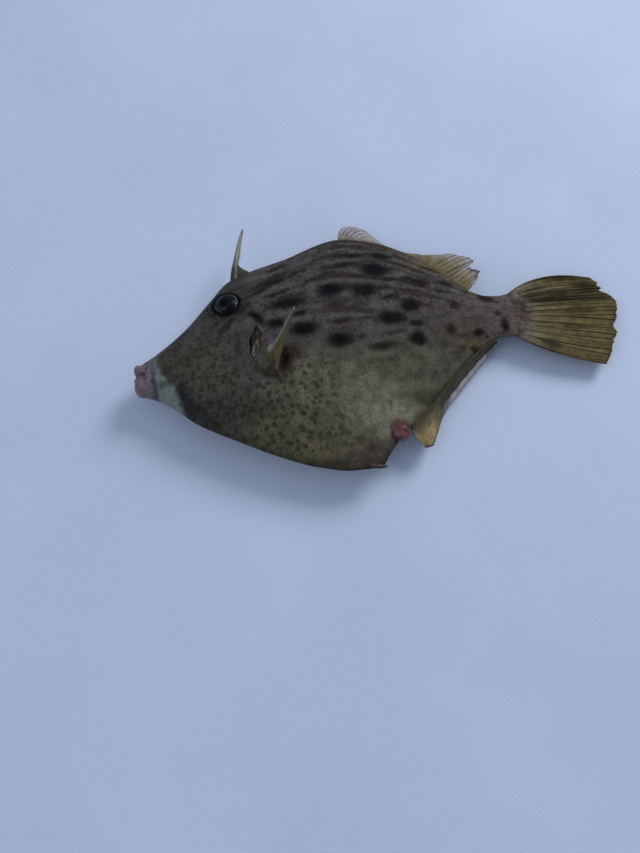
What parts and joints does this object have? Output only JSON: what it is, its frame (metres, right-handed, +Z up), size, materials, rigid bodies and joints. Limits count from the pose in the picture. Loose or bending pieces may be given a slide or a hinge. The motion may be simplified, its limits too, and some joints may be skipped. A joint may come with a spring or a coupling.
{
  "type": "threadsail filefish",
  "caption": "Life-size still model of a threadsail filefish lying on its right flank, with a tall barbed back spine, rayed fins and a small mouth.",
  "frame": {"origin": "middle of the outline seen from above, on the floor that the fish lies on", "axes": "+X from the mouth to the tail, +Y towards the back of the fish, +Z up through its left flank"},
  "size_m": [0.2794, 0.159, 0.0501],
  "materials": {
    "skin": "wet velvet-rough fish skin, grey brown with dark broken stripes",
    "flap_skin": "rough darker olive skin",
    "lip": "wet soft pink lip skin",
    "eye": "clear cornea over a dark eye",
    "gill": "moist cream-yellow flap",
    "vent": "moist red skin",
    "spine": "dry cream bone",
    "fin_cream": "thin translucent membrane over rays",
    "fin_olive": "olive membrane over dark branched rays"
  },
  "bodies": {
    "root": {"lip_upper": "lip", "lip_lower": "lip", "head": "skin", "trunk": "skin", "tail_stalk": "skin", "pelvic_flap": "flap_skin", "pelvic_spine": "flap_skin", "vent": "vent", "eye_left": "eye", "eye_right": "eye", "gill_flap_left": "gill", "gill_flap_right": "gill", "dorsal_spine": "spine", "spine_membrane": "spine", "dorsal_fin": "fin_cream", "anal_fin": "fin_cream", "caudal_fin": "fin_olive", "pectoral_fin_left": "fin_cream", "pectoral_fin_right": "fin_cream"}
  },
  "joints": []
}
